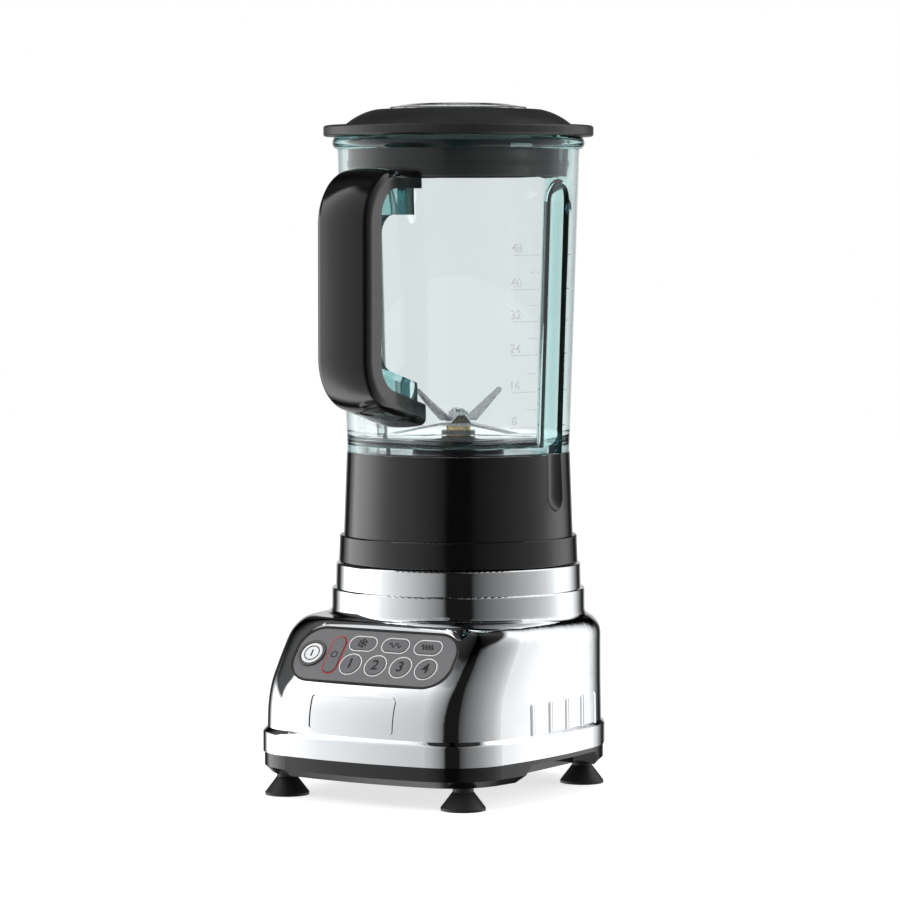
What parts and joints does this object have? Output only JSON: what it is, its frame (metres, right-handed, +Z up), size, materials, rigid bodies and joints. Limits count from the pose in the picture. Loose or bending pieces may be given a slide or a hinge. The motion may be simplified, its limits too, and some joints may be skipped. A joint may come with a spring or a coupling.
{
  "type": "countertop blender",
  "caption": "Countertop blender: chrome motor base with a sloping key panel, black collar with blades, handled glass jug, black lid and clear filler cap.",
  "frame": {"origin": "on the counter, under the middle of the blender's overall box", "axes": "+Z up along the jug's axis; -Y to the front, where the keys and the jug's handle are; +X to the right seen from the front"},
  "size_m": [0.1704, 0.205, 0.3999],
  "materials": {
    "chrome": "mirror polished",
    "black_plastic": "satin gloss",
    "panel_grey": "satin",
    "key_grey": "satin",
    "power_silver": "gloss",
    "black_rubber": "matte",
    "foot_rubber": "matte",
    "dark_rubber": "matte",
    "seal_rubber": "matte",
    "clear_glass": "clear",
    "clear_plastic": "clear",
    "blade_steel": "ground",
    "bright_steel": "turned",
    "core_steel": "stacked sheet",
    "aluminium": "die cast",
    "brass": "turned",
    "copper": "enamelled wire",
    "carbon": "matte",
    "board_green": "satin",
    "switch_black": "matte",
    "white_plastic": "satin"
  },
  "bodies": {
    "base": {"housing": "chrome", "neck_ring": "chrome", "jug_seat": "black_plastic", "seat_pad": "black_rubber", "seat_screws": "bright_steel", "base_plate": "black_plastic", "plate_screws": "bright_steel", "feet": "foot_rubber", "inlet_gland": "black_rubber", "control_panel": "panel_grey", "key_board": "board_green", "key_switches": "switch_black", "board_screws": "bright_steel", "power_board": "board_green", "heat_sink": "aluminium", "stator_core": "core_steel", "field_coils": "copper", "upper_bracket": "aluminium", "lower_bracket": "aluminium", "motor_bolts": "bright_steel", "motor_mounts": "black_rubber", "motor_bearings": "bright_steel", "brush_holders": "brass", "brushes": "carbon"},
    "motor": {"motor_shaft": "bright_steel", "rotor_core": "core_steel", "rotor_windings": "copper", "commutator": "copper", "cooling_fan": "white_plastic", "drive_coupling": "dark_rubber"},
    "jug_base": {"collar": "black_plastic", "jug_gasket": "seal_rubber", "bearing_housing": "black_plastic", "hub_nut": "black_plastic", "upper_bush": "brass", "lower_bush": "brass", "shaft_seal": "black_rubber"},
    "blades": {"blade_shaft": "bright_steel", "driven_coupling": "dark_rubber", "long_blade": "blade_steel", "side_blade": "blade_steel", "up_blade": "blade_steel", "blade_nut": "bright_steel"},
    "jug": {"glass_jug": "clear_glass", "handle_cover": "black_plastic", "handle_screw": "bright_steel"},
    "lid": {"lid": "black_plastic", "lid_seal": "black_rubber"},
    "cap": {"filler_cap": "clear_plastic"},
    "power_key_body": {"power_key": "power_silver"},
    "stop_key_body": {"stop_key": "key_grey"},
    "ice_key_body": {"ice_key": "key_grey"},
    "low_pulse_key_body": {"low_pulse_key": "key_grey"},
    "high_pulse_key_body": {"high_pulse_key": "key_grey"},
    "speed_key_1_body": {"speed_key_1": "key_grey"},
    "speed_key_2_body": {"speed_key_2": "key_grey"},
    "speed_key_3_body": {"speed_key_3": "key_grey"},
    "speed_key_4_body": {"speed_key_4": "key_grey"}
  },
  "joints": [
    {"name": "motor_spin", "type": "hinge", "parent": "base", "child": "motor", "pos_m": [0, 0.02345, 0.1], "axis": [0, 0, 1], "continuous": true},
    {"name": "jug_lift", "type": "slide", "parent": "base", "child": "jug_base", "axis": [0, 0, 1], "range_m": [0, 0.06]},
    {"name": "blade_spin", "type": "hinge", "parent": "jug_base", "child": "blades", "pos_m": [0, 0.02345, 0.2], "axis": [0, 0, 1], "continuous": true},
    {"name": "jug_twist", "type": "hinge", "parent": "jug_base", "child": "jug", "pos_m": [0, 0.02345, 0.19], "axis": [0, 0, 1], "range_deg": [0, 40]},
    {"name": "lid_lift", "type": "slide", "parent": "jug", "child": "lid", "axis": [0, 0, 1], "range_m": [0, 0.04]},
    {"name": "cap_lift", "type": "slide", "parent": "lid", "child": "cap", "axis": [0, 0, 1], "range_m": [0, 0.03]},
    {"name": "power_key_press", "type": "slide", "parent": "base", "child": "power_key_body", "axis": [0, 0.766, -0.6428], "range_m": [0, 0.0008], "stiffness_N_per_m": 400},
    {"name": "stop_key_press", "type": "slide", "parent": "base", "child": "stop_key_body", "axis": [0, 0.766, -0.6428], "range_m": [0, 0.0008], "stiffness_N_per_m": 400},
    {"name": "ice_key_press", "type": "slide", "parent": "base", "child": "ice_key_body", "axis": [0, 0.766, -0.6428], "range_m": [0, 0.0008], "stiffness_N_per_m": 400},
    {"name": "low_pulse_key_press", "type": "slide", "parent": "base", "child": "low_pulse_key_body", "axis": [0, 0.766, -0.6428], "range_m": [0, 0.0008], "stiffness_N_per_m": 400},
    {"name": "high_pulse_key_press", "type": "slide", "parent": "base", "child": "high_pulse_key_body", "axis": [0, 0.766, -0.6428], "range_m": [0, 0.0008], "stiffness_N_per_m": 400},
    {"name": "speed_key_1_press", "type": "slide", "parent": "base", "child": "speed_key_1_body", "axis": [0, 0.766, -0.6428], "range_m": [0, 0.0008], "stiffness_N_per_m": 400},
    {"name": "speed_key_2_press", "type": "slide", "parent": "base", "child": "speed_key_2_body", "axis": [0, 0.766, -0.6428], "range_m": [0, 0.0008], "stiffness_N_per_m": 400},
    {"name": "speed_key_3_press", "type": "slide", "parent": "base", "child": "speed_key_3_body", "axis": [0, 0.766, -0.6428], "range_m": [0, 0.0008], "stiffness_N_per_m": 400},
    {"name": "speed_key_4_press", "type": "slide", "parent": "base", "child": "speed_key_4_body", "axis": [0, 0.766, -0.6428], "range_m": [0, 0.0008], "stiffness_N_per_m": 400}
  ],
  "couplings": [
    {"joint": "blade_spin", "follows": "motor_spin", "ratio": 1}
  ]
}
